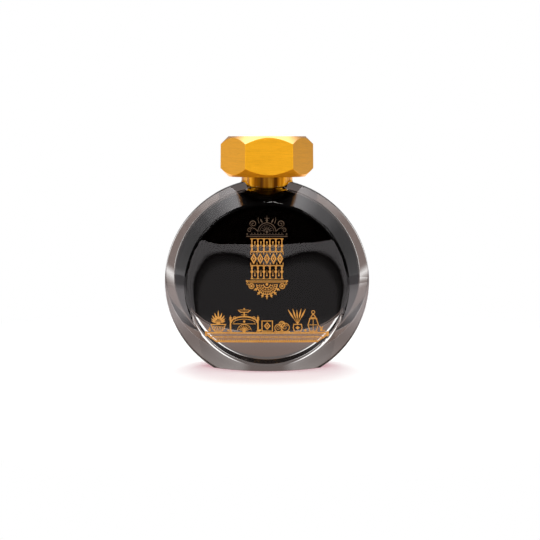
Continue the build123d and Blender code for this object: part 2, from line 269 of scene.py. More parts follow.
def wall_material():
    """Inner wall: ink against glass below the level, a thin streaky film of
    ink on dry glass above it. The film also carries a painted amber glow."""
    m = new_material("flask_inner_wall")
    x, _, z = m.split(m.position())
    wet = m.glass(GLASS_IOR / INK_IOR, color=(1, 1, 1), rough=0.0)
    # upright streaks: fine across, long in z
    streak = m.noise(m.coords((520, 520, 22)), scale=1.0, detail=3.0, rough=0.6)
    stain = [
        (0.36, (0.20, 0.070, 0.006)),
        (0.44, (0.66, 0.34, 0.045)),
        (0.60, (0.84, 0.50, 0.06)),
        (0.80, (0.90, 0.60, 0.14)),
    ]
    dry = m.glass(GLASS_IOR, color=m.ramp(streak, stain), rough=0.06)
    # painted glow: amber emission on the dry film, standing in for light caught in it
    glow = [
        (0.34, (0.10, 0.030, 0.000)),
        (0.44, (0.27, 0.095, 0.002)),
        (0.54, (0.44, 0.18, 0.005)),
        (0.66, (0.60, 0.29, 0.028)),
    ]
    # the painted glow fades in just above the ink and is painted brighter towards both sides, a
    # painted highlight on the neck edges
    rise = m.smooth(z, INK_LEVEL + 0.0002, INK_LEVEL + 0.0015)
    across = m.ramp(
        m.math("MULTIPLY", m.size(x), 100.0, clamp=True),
        greys([(0.0, 0.66), (0.28, 0.80), (0.50, 1.8), (0.68, 2.15)]),
    )
    film_painted_glow = m.emission(m.ramp(streak, glow), m.times(rise, across))
    # the film and its painted glow cover most of the dry glass, for rays of depth 4 or less
    cover = m.times(m.below(m.light_path()["Ray Depth"], 4.5), 0.74)
    coated = m.mix_shader(cover, dry, film_painted_glow)
    return m.finish(m.mix_shader(m.above(z, INK_LEVEL), wet, coated))


def ink_material(name, grain, dark, light, rough, ior):
    m = new_material(name)
    pattern = m.noise(m.coords(), scale=grain, detail=2)
    color = m.ramp(pattern, [(0.3, dark), (0.8, light)])
    return m.finish(m.principled({"Base Color": color, "Roughness": rough, "IOR": ior}))


# ---------------------------------------------------------------- cap and seal
def brushed_pattern(m, x, y, z, normal_z):
    """Fine and broad brushing round the cap, with specks."""
    is_flat = m.above(m.size(normal_z), 0.9)
    # lines are spaced by height on the sides, by radius on the flat ends
    run = m.mix(is_flat, z, m.hypot(x, y), kind="FLOAT")

    def brushed(along, across, detail):
        stretched = m.combine(m.times(x, along), m.times(y, along), m.times(run, across))
        return m.noise(stretched, scale=1.0, detail=detail, rough=0.6)

    fine = brushed(along=420.0, across=9000.0, detail=3.0)
    broad = brushed(along=120.0, across=2600.0, detail=2.0)
    speck = m.noise(m.coords(), scale=5200, detail=2, rough=0.6)
    return m.plus(m.times(fine, 0.45), m.plus(m.times(broad, 0.3), m.times(speck, 0.25)))


def gold_material():
    facet, flat = 0.25, 0.93  # sizes of normal z between which a face is a cut facet
    m = new_material("satin_gold")
    normal_z = m.split(m.geometry()["Normal"])[2]
    x, y, z = m.split(m.position())
    blend = brushed_pattern(m, x, y, z, normal_z)
    gold = m.ramp(
        blend,
        [
            (0.36, (0.78, 0.350, 0.002)),
            (0.50, (0.88, 0.410, 0.004)),
            (0.64, (0.96, 0.460, 0.012)),
        ],
    )
    # upper cut facets are brighter and glossier
    slope = m.size(normal_z)
    cut = m.times(m.above(normal_z, facet), m.below(slope, flat))
    color = m.mix(cut, gold, (0.90, 0.42, 0.012))
    # seen from above, the turned top mirrors the lamps squarely, so its colour is
    # painted darker there: painted shade
    seen_z = m.split(m.geometry()["Incoming"])[2]
    from_above = m.times(m.above(normal_z, flat), m.smooth(seen_z, 0.45, 0.90))
    painted_shade_top = [
        (0.36, (0.27, 0.138, 0.016)),
        (0.50, (0.32, 0.166, 0.021)),
        (0.64, (0.37, 0.195, 0.028)),
    ]
    color = m.mix(from_above, color, m.ramp(blend, painted_shade_top))
    # painted shade: as seen in reflections, the underside, which sits close over the shoulder, is
    # painted near black
    path = m.light_path()
    painted_shade_under = m.times(m.below(normal_z, -facet), path["Is Glossy Ray"])
    color = m.mix(painted_shade_under, color, (0.006, 0.003, 0.002))
    # painted light: an amber glow on the lower facets, seen by the camera only, stands in for
    # light thrown up from the table
    lower = m.times(m.below(normal_z, -facet), m.below(slope, flat))
    painted_uplight = m.times(lower, path["Is Camera Ray"])
    rounded = m.add("ShaderNodeBevel", {"Radius": 0.00016}, samples=4)
    inputs = {
        "Base Color": color,
        "Metallic": 1.0,
        "Roughness": m.map_range(blend, 0.3, 0.7, to_low=0.34, to_high=0.46),
        "Coat Weight": m.plus(m.times(cut, 0.65), 0.35),
        "Coat IOR": m.plus(m.times(cut, 0.75), 1.5),
        "Coat Roughness": 0.35,
        "Emission Color": (0.22, 0.060, 0.001),
        "Emission Strength": painted_uplight,
        "Normal": m.bump(blend, strength=0.30, distance=0.00002, normal=rounded),
    }
    return m.finish(m.principled(inputs))


def gilt_material(name, dark, light):
    m = new_material(name)
    fine = m.noise(m.coords(), scale=2400, detail=3, rough=0.6)
    broad = m.noise(m.coords(), scale=260, detail=2)
    blend = m.plus(m.times(fine, 0.6), m.times(broad, 0.4))
    inputs = {
        "Base Color": m.ramp(blend, [(0.34, dark), (0.7, light)]),
        "Metallic": 0.35,
        "Roughness": 0.42,
        "Normal": m.bump(blend, strength=0.3, distance=0.00002),
    }
    return m.finish(m.principled(inputs))


def plastic_material(name, dark, light, rough, grain):
    m = new_material(name)
    pattern = m.noise(m.coords(), scale=grain, detail=3, rough=0.6)
    inputs = {
        "Base Color": m.ramp(pattern, [(0.3, dark), (0.7, light)]),
        "Roughness": rough,
        "Normal": m.bump(pattern, strength=0.25, distance=0.00004),
    }
    return m.finish(m.principled(inputs))


# ---------------------------------------------------------------- finishes on the CAD
def assign(obj, materials, face_slots=None):
    """Replace the materials; face_slots holds each face's slot, all 0 if left out."""
    mesh = obj.data
    mesh.materials.clear()
    for material in materials:
        mesh.materials.append(material)
    if face_slots is None:
        face_slots = np.zeros(len(mesh.polygons), np.int32)
    mesh.polygons.foreach_set("material_index", face_slots)
    mesh.update()


def glass_face_slots():
    """0 for outer glass, 1 for the inner wall of the hollow and of the bore."""
    search, touching = 0.0004, 0.00006  # distances from the ink
    bore_reach = 0.0069  # inward faces this close to the axis are bore
    ceiling = INK_LEVEL + 0.0021  # downward faces up to here close the hollow
    ink_tree = BVHTree.FromObject(ink, bpy.context.evaluated_depsgraph_get())
    mesh = glass.data
    gaps = []
    for vertex in mesh.vertices:
        gap = ink_tree.find_nearest(vertex.co, search)[3]
        gaps.append(1.0 if gap is None else gap)
    slots = np.zeros(len(mesh.polygons), np.int32)
    for face in mesh.polygons:
        centre, normal = face.center, face.normal
        in_bore = (
            math.hypot(centre.x, centre.y) < bore_reach
            and normal.x * centre.x + normal.y * centre.y < 0
        )
        overhead = centre.z < ceiling and normal.z < -0.4
        dry_wall = centre.z > INK_LEVEL - 0.0005 and (in_bore or overhead)
        if dry_wall or all(gaps[i] < touching for i in face.vertices):
            slots[face.index] = 1
    return slots


def ink_face_slots():
    """1 for the level top of the ink, 0 for the rest."""
    is_top = [
        face.normal.z > 0.9 and face.center.z > INK_LEVEL - 1e-4 for face in ink.data.polygons
    ]
    return np.array(is_top, np.int32)


assign(glass, [glass_material(), wall_material()], glass_face_slots())
ink_bulk = ink_material(
    "ink_bulk",
    grain=160,
    dark=(0.0022, 0.0012, 0.0010),
    light=(0.0042, 0.0022, 0.0016),
    rough=0.6,
    ior=1.02,
)
ink_surface = ink_material(
    "ink_surface",
    grain=220,
    dark=(0.010, 0.004, 0.002),
    light=(0.022, 0.008, 0.003),
    rough=0.05,
    ior=INK_IOR,
)
assign(ink, [ink_bulk, ink_surface], ink_face_slots())
assign(nodes["cap_shell"], [gold_material()])

# CAD piece, material, dark colour, light colour, roughness, grain scale
PLASTICS = [
    ("cap_insert", "liner", (0.035, 0.030, 0.027), (0.055, 0.048, 0.042), 0.45, 900),
    ("seal_core", "foam", (0.62, 0.60, 0.55), (0.75, 0.73, 0.68), 0.8, 2600),
    ("seal_facing", "facing", (0.78, 0.76, 0.70), (0.85, 0.83, 0.78), 0.35, 700),
]
for piece, *look in PLASTICS:
    assign(nodes[piece], [plastic_material(*look)])


# ---------------------------------------------------------------- drawing tools
def polar(x, z, radius, angle):
    """Point at a radius and an angle in degrees from +x."""
    turn = math.radians(angle)
    return (x + radius * math.cos(turn), z + radius * math.sin(turn))


class Drawing:
    """A flat drawing held as a distance field on a fine grid, in millimetres
    of x and z on the face. Negative is gilt."""

    MARGIN = 0.35  # how far round a shape the field is updated
    EMPTY = 9.0  # field value far from any shape

    def __init__(self, x0, x1, z0, z1, cell):
        self.cell = cell
        self.xs = np.arange(x0, x1 + cell / 2, cell)
        self.zs = np.arange(z0, z1 + cell / 2, cell)
        self.field = np.full((len(self.xs), len(self.zs)), self.EMPTY, np.float32)

    def span(self, axis, low, high):
        start = int((low - self.MARGIN - axis[0]) / self.cell)
        stop = int((high + self.MARGIN - axis[0]) / self.cell) + 2
        return slice(max(0, start), min(len(axis), stop))

    def merge(self, x0, x1, z0, z1, distance, cut=False):
        """Add the shape of a distance function within a window, or cut it out."""
        window = self.span(self.xs, x0, x1), self.span(self.zs, z0, z1)
        gx, gz = np.meshgrid(self.xs[window[0]], self.zs[window[1]], indexing="ij")
        shape = distance(gx, gz)
        if cut:
            self.field[window] = np.maximum(self.field[window], -shape)
        else:
            self.field[window] = np.minimum(self.field[window], shape)

    def disc(self, x, z, r, cut=False):
        def distance(gx, gz):
            return np.hypot(gx - x, gz - z) - r

        self.merge(x - r, x + r, z - r, z + r, distance, cut)

    def ring(self, x, z, radius, width, arc=None):
        """Ring, or the part of it between two angles in degrees."""

        def distance(gx, gz):
            field = np.abs(np.hypot(gx - x, gz - z) - radius) - width / 2
            if arc is None:
                return field
            angle = np.degrees(np.arctan2(gz - z, gx - x)) % 360
            inside = (angle - arc[0]) % 360 <= (arc[1] - arc[0]) % 360
            return np.where(inside, field, self.EMPTY)

        reach = radius + width
        self.merge(x - reach, x + reach, z - reach, z + reach, distance)

    def limb(self, x0, z0, x1, z1, r0, r1):
        """Round-ended bar whose radius goes from r0 to r1."""
        dx, dz = x1 - x0, z1 - z0

        def distance(gx, gz):
            along = ((gx - x0) * dx + (gz - z0) * dz) / max(dx * dx + dz * dz, 1e-9)
            t = np.clip(along, 0, 1)
            return np.hypot(gx - x0 - t * dx, gz - z0 - t * dz) - (r0 + (r1 - r0) * t)

        r = max(r0, r1)
        self.merge(min(x0, x1) - r, max(x0, x1) + r, min(z0, z1) - r, max(z0, z1) + r, distance)

    def turned(self, points, widths):
        """Line through the points with a width at each."""
        for start, end, w0, w1 in zip(points, points[1:], widths, widths[1:]):
            self.limb(*start, *end, w0 / 2, w1 / 2)

    def stroke(self, points, width, end_width=None):
        """Line through the points that tapers evenly."""
        end_width = width if end_width is None else end_width
        n = len(points) - 1
        self.turned(points, [width + (end_width - width) * k / n for k in range(n + 1)])

    def stroke_pair(self, x, points, width, end_width=None):
        """A stroke and its mirror image about x; points are offsets from x, and z."""
        for side in (1, -1):
            self.stroke([(x + side * dx, z) for dx, z in points], width, end_width)

    def ray(self, x, z, r0, r1, angle, width, end_width=None):
        self.stroke([polar(x, z, r0, angle), polar(x, z, r1, angle)], width, end_width)

    def box(self, x, half_width, low, high):
        z, half_height = (low + high) / 2, (high - low) / 2

        def distance(gx, gz):
            return np.maximum(np.abs(gx - x) - half_width, np.abs(gz - z) - half_height)

        self.merge(x - half_width, x + half_width, low, high, distance)

    def boxes(self, x, rows):
        """Boxes centred on x; each row is half width, bottom, top."""
        for row in rows:
            self.box(x, *row)

    def lozenge(self, x, z, a, b, cut=False):
        """Lozenge of half width a and half height b."""
        slope = 1 / math.hypot(1 / a, 1 / b)

        def distance(gx, gz):
            return (np.abs(gx - x) / a + np.abs(gz - z) / b - 1) * slope

        self.merge(x - a, x + a, z - b, z + b, distance, cut)

    def leaf(self, x, z, length, width, angle):
        """Pointed leaf from its root, angle in degrees from +x."""
        points = [polar(x, z, length * t, angle) for t in np.linspace(0, 1, 7)]
        widths = [
            width * math.sin(math.pi * min(1, (k / 6) ** 0.8)) + 0.08 for k in range(7)
        ]
        self.turned(points, widths)

    def curl(self, x, z, radius, start, turns, width, end_width, spin):
        """Volute that winds in from the radius; spin 1 is anticlockwise, -1 clockwise."""
        n = int(18 * turns) + 4
        points = []
        for k in range(n + 1):
            t = k / n
            points.append(polar(x, z, radius * (1 - 0.82 * t), start + spin * 360 * turns * t))
        self.stroke(points, width, end_width)

    def polygons(self, lift):
        """Points (x, z) and polygons of the gilt areas, raised by lift."""
        # keep the outline clear of the grid points
        field = np.where(np.abs(self.field) < 1e-4, 1e-4, self.field)
        xs, zs = self.xs, self.zs + lift
        points, index = [], {}

        def corner(p):
            if p not in index:
                index[p] = len(points)
                points.append((xs[p[0]], zs[p[1]]))
            return index[p]

        def crossing(p, q):
            """Point where the outline crosses the grid edge between two corners."""
            p, q = sorted((p, q))
            if (p, q) not in index:
                a, b = field[p], field[q]
                t = min(0.95, max(0.05, float(a / (a - b))))
                x0, z0 = xs[p[0]], zs[p[1]]
                index[p, q] = len(points)
                points.append((x0 + (xs[q[0]] - x0) * t, z0 + (zs[q[1]] - z0) * t))
            return index[p, q]

        gilt = field < 0
        polygons = []
        touched = gilt[:-1, :-1] | gilt[1:, :-1] | gilt[1:, 1:] | gilt[:-1, 1:]
        for i, j in zip(*np.nonzero(touched)):
            i, j = int(i), int(j)
            corners = [(i, j), (i + 1, j), (i + 1, j + 1), (i, j + 1)]
            filled = [bool(gilt[p]) for p in corners]
            if all(filled):
                polygons.append([corner(p) for p in corners])
                continue
            # two opposite corners: a separate triangle at each
            if filled[0] == filled[2] and filled[1] == filled[3]:
                for k in range(4):
                    if filled[k]:
                        p = corners[k]
                        before = crossing(corners[k - 1], p)
                        after = crossing(p, corners[(k + 1) % 4])
                        polygons.append([before, corner(p), after])
                continue
            polygon = []
            for k in range(4):
                p, q = corners[k], corners[(k + 1) % 4]
                if filled[k]:
                    polygon.append(corner(p))
                if filled[k] != filled[(k + 1) % 4]:
                    polygon.append(crossing(p, q))
            polygons.append(polygon)
        return points, polygons

    def build(self, name, surface_y, gap, thick, lift):
        """Closed solid of the gilt areas, laid on the face y = surface_y(x, z)."""
        points, polygons = self.polygons(lift)
        n = len(points)
        vertices = [
            (x * MM, (surface_y(x, z) - offset) * MM, z * MM)
            for offset in (gap + thick, gap)
            for x, z in points
        ]
        faces = polygons + [[v + n for v in reversed(polygon)] for polygon in polygons]
        # side walls along every edge that only one polygon uses
        edges = dict.fromkeys(
            edge for polygon in polygons for edge in zip(polygon, polygon[1:] + polygon[:1])
        )
        faces += [[b, a, a + n, b + n] for a, b in edges if (b, a) not in edges]
        mesh = bpy.data.meshes.new(name)
        mesh.from_pydata(vertices, [], faces)
        mesh.validate()
        mesh.update()
        obj = bpy.data.objects.new(name, mesh)
        bpy.context.scene.collection.objects.link(obj)
        return obj


# ---------------------------------------------------------------- gilt print
# All sizes in the print are millimetres; angles are degrees from +x.
DISC_CENTRE_Z = (cap_low.z - 0.0359) / MM
FOIL_GAP = 0.02
FOIL_THICK = 0.05


def fit_crown():
    """Centre y, centre z and radius of the sphere through the front face."""
    points = np.array(
        [
            (v.co.x / MM, v.co.y / MM, v.co.z / MM)
            for v in glass.data.vertices
            if v.co.y < glass_low.y + 0.00078 and abs(v.co.z / MM - DISC_CENTRE_Z) < 25
        ]
    )
    terms = np.c_[2 * points[:, 1], 2 * points[:, 2], np.ones(len(points))]
    squares = (points**2).sum(1)
    (y, z, rest), *_ = np.linalg.lstsq(terms, squares, rcond=None)
    return y, z, math.sqrt(rest + z * z + y * y)


CROWN_Y, CROWN_Z, CROWN_R = fit_crown()


def face_y(x, z):
    return CROWN_Y - math.sqrt(CROWN_R**2 - x * x - (z - CROWN_Z) ** 2)


def draw_crest():
    """Half-round fan on a beaded base, with a finial and volutes."""
    fan_z = 47.7
    art = Drawing(-7.2, 7.2, 45.6, 54.0, cell=0.05)
    art.boxes(0, [(6.3, 46.0, 46.3), (5.6, 46.65, 46.85)])
    for x in np.linspace(-5.0, 5.0, 11):
        art.disc(x, 47.2, 0.17)
    # fan: two arcs, rays and a hub
    art.ring(0, fan_z, 3.0, 0.26, arc=(0, 180))
    art.ring(0, fan_z, 2.35, 0.16, arc=(0, 180))
    for angle in range(15, 180, 25):
        art.ray(0, fan_z, 0.9, 1.9, angle, 0.30, 0.12)
    art.disc(0, 47.75, 0.42)
    # finial
    art.stroke([(0, 50.8), (0, 53.2)], 0.34, 0.08)
    art.lozenge(0, 51.5, 0.45, 0.62)
    art.stroke([(-0.75, 52.2), (0.75, 52.2)], 0.16)
    # flanks
    art.stroke_pair(0, [(3.2, 48.0), (3.9, 48.7), (4.7, 49.0), (5.7, 50.1)], 0.28, 0.14)
    art.stroke_pair(0, [(2.6, 50.6), (3.0, 51.8), (2.8, 52.5)], 0.22, 0.10)
    art.stroke_pair(0, [(6.2, 46.2), (6.75, 46.2)], 0.35)
    for side in (1, -1):
        art.curl(side * 4.55, 50.35, 1.15, 90 - side * 90, 1.35, 0.30, 0.16, side)
        art.curl(side * 5.75, 48.25, 0.85, 90 + side * 60, 1.25, 0.26, 0.14, -side)
        art.leaf(side * 1.5, 50.7, 1.5, 0.42, 90 - side * 28)
        art.disc(side * 6.55, 46.95, 0.26)
    return art


def draw_lozenge_row(art, low, high):
    middle = (low + high) / 2
    for x in (-4.4, -2.2, 0.0, 2.2, 4.4):
        art.lozenge(x, middle, 1.02, 1.9)
        art.lozenge(x, middle, 0.52, 1.05, cut=True)
        art.lozenge(x, middle, 0.26, 0.52)
    for x in (-5.4, -3.3, -1.1, 1.1, 3.3, 5.4):
        art.stroke([(x, low + 0.12), (x, low + 0.75)], 0.30, 0.10)
        art.stroke([(x, high - 0.12), (x, high - 0.75)], 0.30, 0.10)


def draw_spindle_row(art, low, high, widths, drop_from, drop_to):
    """Turned spindles on square blocks, with a tapering drop between each two."""
    foot, head = low + 0.1, high - 0.1
    n = len(widths) - 1
    for x in (-5.0, -3.0, -1.0, 1.0, 3.0, 5.0):
        art.turned([(x, foot + (head - foot) * k / n) for k in range(n + 1)], widths)
        art.boxes(x, [(0.42, low - 0.05, low + 0.14), (0.42, high - 0.14, high + 0.05)])
    for x in (-4.0, -2.0, 0.0, 2.0, 4.0):
        art.disc(x, drop_from, 0.25)
        art.stroke([(x, drop_from), (x, drop_to)], 0.26, 0.08)


def draw_rows():
    """Three rows between rails: spindles, lozenges, upturned spindles."""
    rows = ((41.35, 45.25), (36.75, 40.75), (32.15, 36.15))  # bottom, top
    spindle = [0.30, 0.62, 0.20, 0.95, 0.34, 0.24, 0.44, 0.26]  # widths from the foot
    art = Drawing(-6.2, 6.2, 31.4, 45.9, cell=0.05)
    for low, high in rows:
        art.boxes(0, [(5.5, low - 0.28, low - 0.12), (5.5, high + 0.12, high + 0.28)])
    (low, high), lozenges, (last_low, last_high) = rows
    draw_spindle_row(art, low, high, spindle, high - 0.95, (low + high) / 2 - 0.9)
    draw_lozenge_row(art, *lozenges)
    last_middle = (last_low + last_high) / 2
    draw_spindle_row(
        art, last_low, last_high, spindle[::-1], last_low + 0.95, last_middle + 0.9
    )
    return art


def draw_rosette():
    """Lower half of a rosette hung from a rail, a small rosette to each side."""
    z = 30.2
    art = Drawing(-7.3, 7.3, 24.6, 32.0, cell=0.05)
    art.boxes(0, [(6.6, 31.1, 31.4), (5.9, 30.65, 30.8)])
    for side in (1, -1):
        art.disc(side * 6.7, 31.25, 0.32)
        small_x, small_z = side * 5.15, 29.55
        art.ring(small_x, small_z, 0.85, 0.24)
        art.disc(small_x, small_z, 0.34)
        for angle in range(0, 360, 60):
            art.ray(small_x, small_z, 0, 0.75, angle, 0.12)
        art.curl(side * 6.3, 30.3, 0.5, 90, 1.0, 0.22, 0.12, -side)
    for radius, width in ((1.15, 0.30), (2.0, 0.18), (2.5, 0.18), (3.45, 0.28)):
        art.ring(0, z, radius, width, arc=(180, 360))
    for angle in range(188, 360, 12):
        art.ray(0, z, 2.65, 3.25, angle, 0.16, 0.26)
    for angle in range(195, 360, 30):
        art.ray(0, z, 1.35, 1.85, angle, 0.20)
    art.disc(0, 30.15, 0.45)
    # three-leaved buds round the rim, the lowest one longer
    for angle in (205, 228, 249, 270, 291, 312, 335):
        root = polar(0, z, 3.9, angle)
        art.disc(*root, 0.30)
        art.leaf(*root, 0.95 * (1.25 if angle == 270 else 1.0), 0.30, angle)
        art.leaf(*root, 0.62, 0.20, angle + 55)
        art.leaf(*root, 0.62, 0.20, angle - 55)
    return art


def draw_shelf():
    """Long moulded shelf with scrolled ends, narrowing downwards to a beaded rail."""
    art = Drawing(-21.4, 21.4, 10.1, 14.7, cell=0.065)
    mouldings = [
        (20.4, 13.45, 14.00),
        (19.7, 12.93, 13.07),
        (19.0, 12.12, 12.55),
        (18.0, 11.76, 11.87),
        (16.95, 10.50, 10.98),
    ]
    art.boxes(0, mouldings)
    art.stroke_pair(0, [(19.9, 12.9), (19.1, 12.2), (18.0, 11.6), (17.0, 10.75)], 0.50, 0.42)
    for side in (1, -1):
        art.box(side * 20.4, 0.4, 13.1, 14.25)
        art.disc(side * 20.35, 12.95, 0.42)
        art.curl(side * 19.5, 12.75, 0.45, 90, 1.0, 0.22, 0.14, side)
    for k in range(47):
        art.disc(-16.7 + 33.4 * k / 46, 11.22, 0.30)
    # holes along the third moulding
    for k in range(24):
        art.disc(-18.4 + 36.8 * (k + 0.5) / 24, 12.335, 0.13, cut=True)
    return art


def draw_sprig(art, x):
    """Spray of leafy stems in a low planter."""
    root_z = 17.5
    art.stroke_pair(x, [(2.3, 17.3), (1.9, 15.9), (1.1, 15.15)], 0.28)
    art.boxes(x, [(2.6, 17.25, 17.6), (2.1, 16.55, 16.72), (1.3, 15.0, 15.25)])
    for dx in np.linspace(-1.5, 1.5, 6):
        art.stroke([(x + dx, 16.4), (x + dx * 0.75, 15.4)], 0.20)
    # angle to either side of upright, height
    stems = [(0, 4.6), (18, 4.0), (35, 3.6), (50, 3.0), (63, 2.6)]
    for lean, height in stems:
        for angle in sorted({90 - lean, 90 + lean}):
            art.ray(x, root_z, 0, height * 0.55, angle, 0.18, 0.14)
            tip_root = polar(x, root_z, height * 0.45, angle)
            art.leaf(*tip_root, height * 0.55, 0.40, angle)
            if height > 3.2:
                side_root = polar(x, root_z, height * 0.40, angle)
                art.leaf(*side_root, height * 0.30, 0.26, angle + 38)
                art.leaf(*side_root, height * 0.30, 0.26, angle - 38)


def arch(x, z, half_width, rise):
    return [
        (x + half_width * math.cos(t), z + rise * math.sin(t))
        for t in np.linspace(0, math.pi, 25)
    ]


def draw_pavilion(art, x):
    """Arched pavilion on two posts, with a half sun inside and a cup on top."""
    for side in (1, -1):
        post_x = x + side * 4.6
        art.stroke([(post_x, 15.3), (post_x, 19.0)], 0.55, 0.42)
        art.boxes(post_x, [(0.55, 15.0, 15.35), (0.48, 18.9, 19.15)])
        art.disc(post_x, 19.65, 0.42)
        art.stroke([(post_x, 19.9), (post_x, 20.6)], 0.22, 0.08)
        art.curl(x + side * 3.1, 19.55, 0.62, 90 - side * 90, 1.2, 0.24, 0.13, side)
    art.stroke(arch(x, 18.2, half_width=4.3, rise=1.9), 0.46)
    art.stroke(arch(x, 18.0, half_width=3.6, rise=1.25), 0.18)
    art.box(x, 3.9, 17.55, 17.75)
    art.disc(x, 18.45, 0.40)
    # half sun, its rays a little flattened
    for angle in range(20, 180, 20):
        c, s = polar(0, 0, 1, angle)
        art.stroke([(x + 0.9 * c, 15.2 + 0.9 * s), (x + 2.0 * c, 15.2 + 1.9 * s)], 0.28, 0.14)
    art.disc(x, 15.35, 0.62)
    art.ring(x, 15.1, 2.35, 0.20, arc=(8, 172))
    # cup
    art.stroke([(x, 20.1), (x, 21.6)], 0.50, 0.30)
    art.stroke([(x - 2.0, 22.25), (x - 1.2, 21.6), (x + 1.2, 21.6), (x + 2.0, 22.25)], 0.32)
    art.box(x, 1.0, 20.6, 20.8)
    art.stroke([(x - 1.5, 22.35), (x + 1.5, 22.35)], 0.18)
    art.disc(x, 22.75, 0.26)


def draw_framed_lozenge(art, x):
    z = 16.95
    art.boxes(x, [(1.9, 18.5, 18.8), (1.9, 15.05, 15.35)])
    for post_x in (x - 1.75, x + 1.75):
        art.box(post_x, 0.17, 15.1, 18.8)
    art.lozenge(x, z, 1.15, 1.35)
    art.lozenge(x, z, 0.62, 0.75, cut=True)
    art.disc(x, z, 0.28)


def draw_rolls(art):
    """Three rolls seen end on, stacked on a line."""
    for x, z, radius in ((3.9, 16.25, 1.25), (6.1, 16.45, 1.4), (5.0, 17.55, 0.95)):
        art.ring(x, z, radius, 0.26)
        art.curl(x, z, radius * 0.68, 30, 1.3, 0.20, 0.12, 1)
    art.stroke([(2.5, 15.1), (7.6, 15.1)], 0.24)


def draw_reed_jar(art, x):
    art.stroke_pair(x, [(1.25, 17.4), (1.5, 16.4), (1.1, 15.15)], 0.30)
    art.boxes(x, [(1.45, 17.35, 17.65), (1.2, 15.0, 15.25)])
    art.lozenge(x, 16.35, 0.75, 0.62)
    # angle, length, leaf width
    reeds = [(122, 6.0, 0.46), (107, 5.6, 0.42), (93, 5.0, 0.40), (78, 5.5, 0.42), (64, 5.9, 0.46)]
    for angle, length, width in reeds:
        art.stroke([(x, 17.5), polar(x, 17.3, length, angle)], 0.16)
        art.leaf(*polar(x, 17.3, 0.42 * length, angle), 0.58 * length, width, angle)


def draw_lantern(art, x):
    art.stroke_pair(x, [(1.1, 15.4), (1.75, 17.3), (1.1, 19.3)], 0.28)
    art.stroke([(x, 15.4), (x, 19.3)], 0.18)
    bars = [(1.5, 15.0, 15.3), (1.45, 17.2, 17.38), (1.35, 19.25, 19.55), (0.9, 19.7, 19.88)]
    art.boxes(x, bars)
    art.stroke([(x - 0.9, 19.8), (x, 21.0), (x + 0.9, 19.8)], 0.26)
    art.ring(x, 21.6, 0.52, 0.22)


def draw_figures():
    """Row of small figures that stands on the shelf."""
    art = Drawing(-20.2, 20.2, 14.85, 23.4, cell=0.055)
    draw_sprig(art, x=-16.3)
    draw_pavilion(art, x=-7.6)
    draw_framed_lozenge(art, x=0.1)
    draw_rolls(art)
    draw_reed_jar(art, x=10.3)
    draw_lantern(art, x=15.5)
    # small fillers: beads (x, z, radius), leaves (x, z, length, width, angle)
    beads = [
        (12.9, 15.45, 0.40), (18.3, 15.5, 0.45), (-2.35, 15.45, 0.38),
        (-13.0, 15.4, 0.32), (19.2, 15.3, 0.28),
    ]
    leaves = [
        (18.3, 15.9, 1.3, 0.36, 125), (18.3, 15.9, 1.1, 0.30, 60),
        (-19.0, 15.1, 1.5, 0.36, 100), (-19.0, 15.1, 1.1, 0.30, 140),
    ]
    for bead in beads:
        art.disc(*bead)
    for leaf in leaves:
        art.leaf(*leaf)
    return art


gilt = gilt_material("gilt_foil", dark=(0.50, 0.208, 0.032), light=(0.69, 0.338, 0.066))
# painted shade: the crest is the same gilt foil painted much darker, for the dark part of the room
# it mirrors
shaded_gilt = gilt_material("gilt_foil_painted_shade", dark=(0.034, 0.019, 0.010), light=(0.085, 0.048, 0.023))

# name, drawing, foil, lift
PRINTS = [
    ("emblem_crest", draw_crest, shaded_gilt, 0.0),
    ("emblem_rows", draw_rows, gilt, 0.0),
    ("emblem_rosette", draw_rosette, gilt, 0.0),
    ("frieze_shelf", draw_shelf, gilt, 0.0),
    ("frieze_figures", draw_figures, gilt, -0.85),
]
for print_name, draw, foil_material, lift in PRINTS:
    foil = draw().build(print_name + "_foil", face_y, FOIL_GAP, FOIL_THICK, lift)
    foil.data.materials.append(foil_material)
    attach(foil, "bottle")
    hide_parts(print_name + "_print")


# ---------------------------------------------------------------- table
# painted light: tones of the table as the glass mirrors it, emission standing in for how it is lit
# painted shade: the table close round the bottle is darker
NEAR_SHADE_TONE = (0.300, 0.240, 0.220)  # close round the bottle
SHEET_TONE = (0.400, 0.375, 0.385)  # in front
SIDE_TONE = (1.75, 1.62, 1.66)  # beside and behind
FAR_TONE = (0.62, 0.58, 0.60)  # beside and behind, far out
# painted shade: tones of the table seen through the glass, dim where the bottle shades it, bright
# for the lit far side
THROUGH_SHADE_LOW = (0.165, 0.118, 0.103)
THROUGH_SHADE_HIGH = (0.195, 0.142, 0.126)
THROUGH_TURNED = (1.1, 1.06, 1.05)
TABLE_RADIUS = 4.0


def table_seen(m, radius):
    """Pale and lit near the bottle, plain white away from it."""
    pattern = m.noise(m.coords(), scale=30, detail=4)
    pale = m.ramp(pattern, [(0.3, (0.485, 0.755, 0.705)), (0.7, (0.495, 0.765, 0.715))])
    lit = m.add("ShaderNodeBsdfDiffuse", {"Color": pale})
    glow = m.emission((0.57, 0.295, 0.34))
    sheet = m.add("ShaderNodeAddShader", {0: lit, 1: glow})
    return m.mix_shader(m.smooth(radius, 0.05, 0.16), sheet, m.emission((1, 1, 1)))


